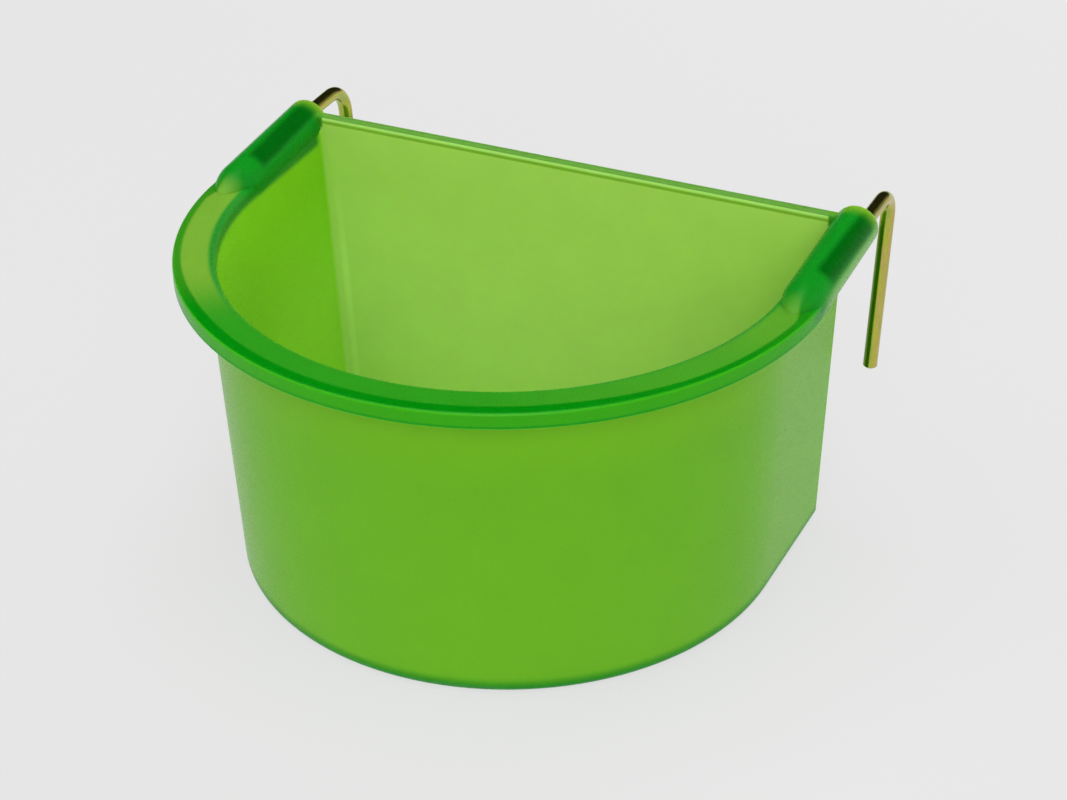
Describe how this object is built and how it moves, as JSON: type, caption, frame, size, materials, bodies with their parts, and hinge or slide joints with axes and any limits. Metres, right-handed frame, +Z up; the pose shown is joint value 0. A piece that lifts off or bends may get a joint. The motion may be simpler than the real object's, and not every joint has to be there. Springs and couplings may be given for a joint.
{
  "type": "seed cup",
  "caption": "Half-round hanging seed cup of translucent plastic: flat back, broad rim with round sockets at its ends, and bent wire hooks that turn in the sockets.",
  "frame": {"origin": "on the underside of the base, at the centre of the half-round front", "axes": "+X to the right along the back wall, +Y back through the flat back wall towards the cage bars, +Z up out of the cup"},
  "size_m": [0.1106, 0.0965, 0.0624],
  "materials": {
    "green_plastic": "satin translucent green polypropylene",
    "yellow_zinc": "steel wire, zinc plated and yellow passivated, semi-gloss"
  },
  "bodies": {
    "cup": {"cup": "green_plastic"},
    "left_hook": {"left_hook": "yellow_zinc"},
    "right_hook": {"right_hook": "yellow_zinc"}
  },
  "joints": [
    {"name": "left_hook_turn", "type": "hinge", "parent": "cup", "child": "left_hook", "pos_m": [-0.0525, 0.0265, 0.0588], "axis": [0, 1, 0], "continuous": true},
    {"name": "right_hook_turn", "type": "hinge", "parent": "cup", "child": "right_hook", "pos_m": [0.0525, 0.0265, 0.0588], "axis": [0, 1, 0], "continuous": true}
  ]
}
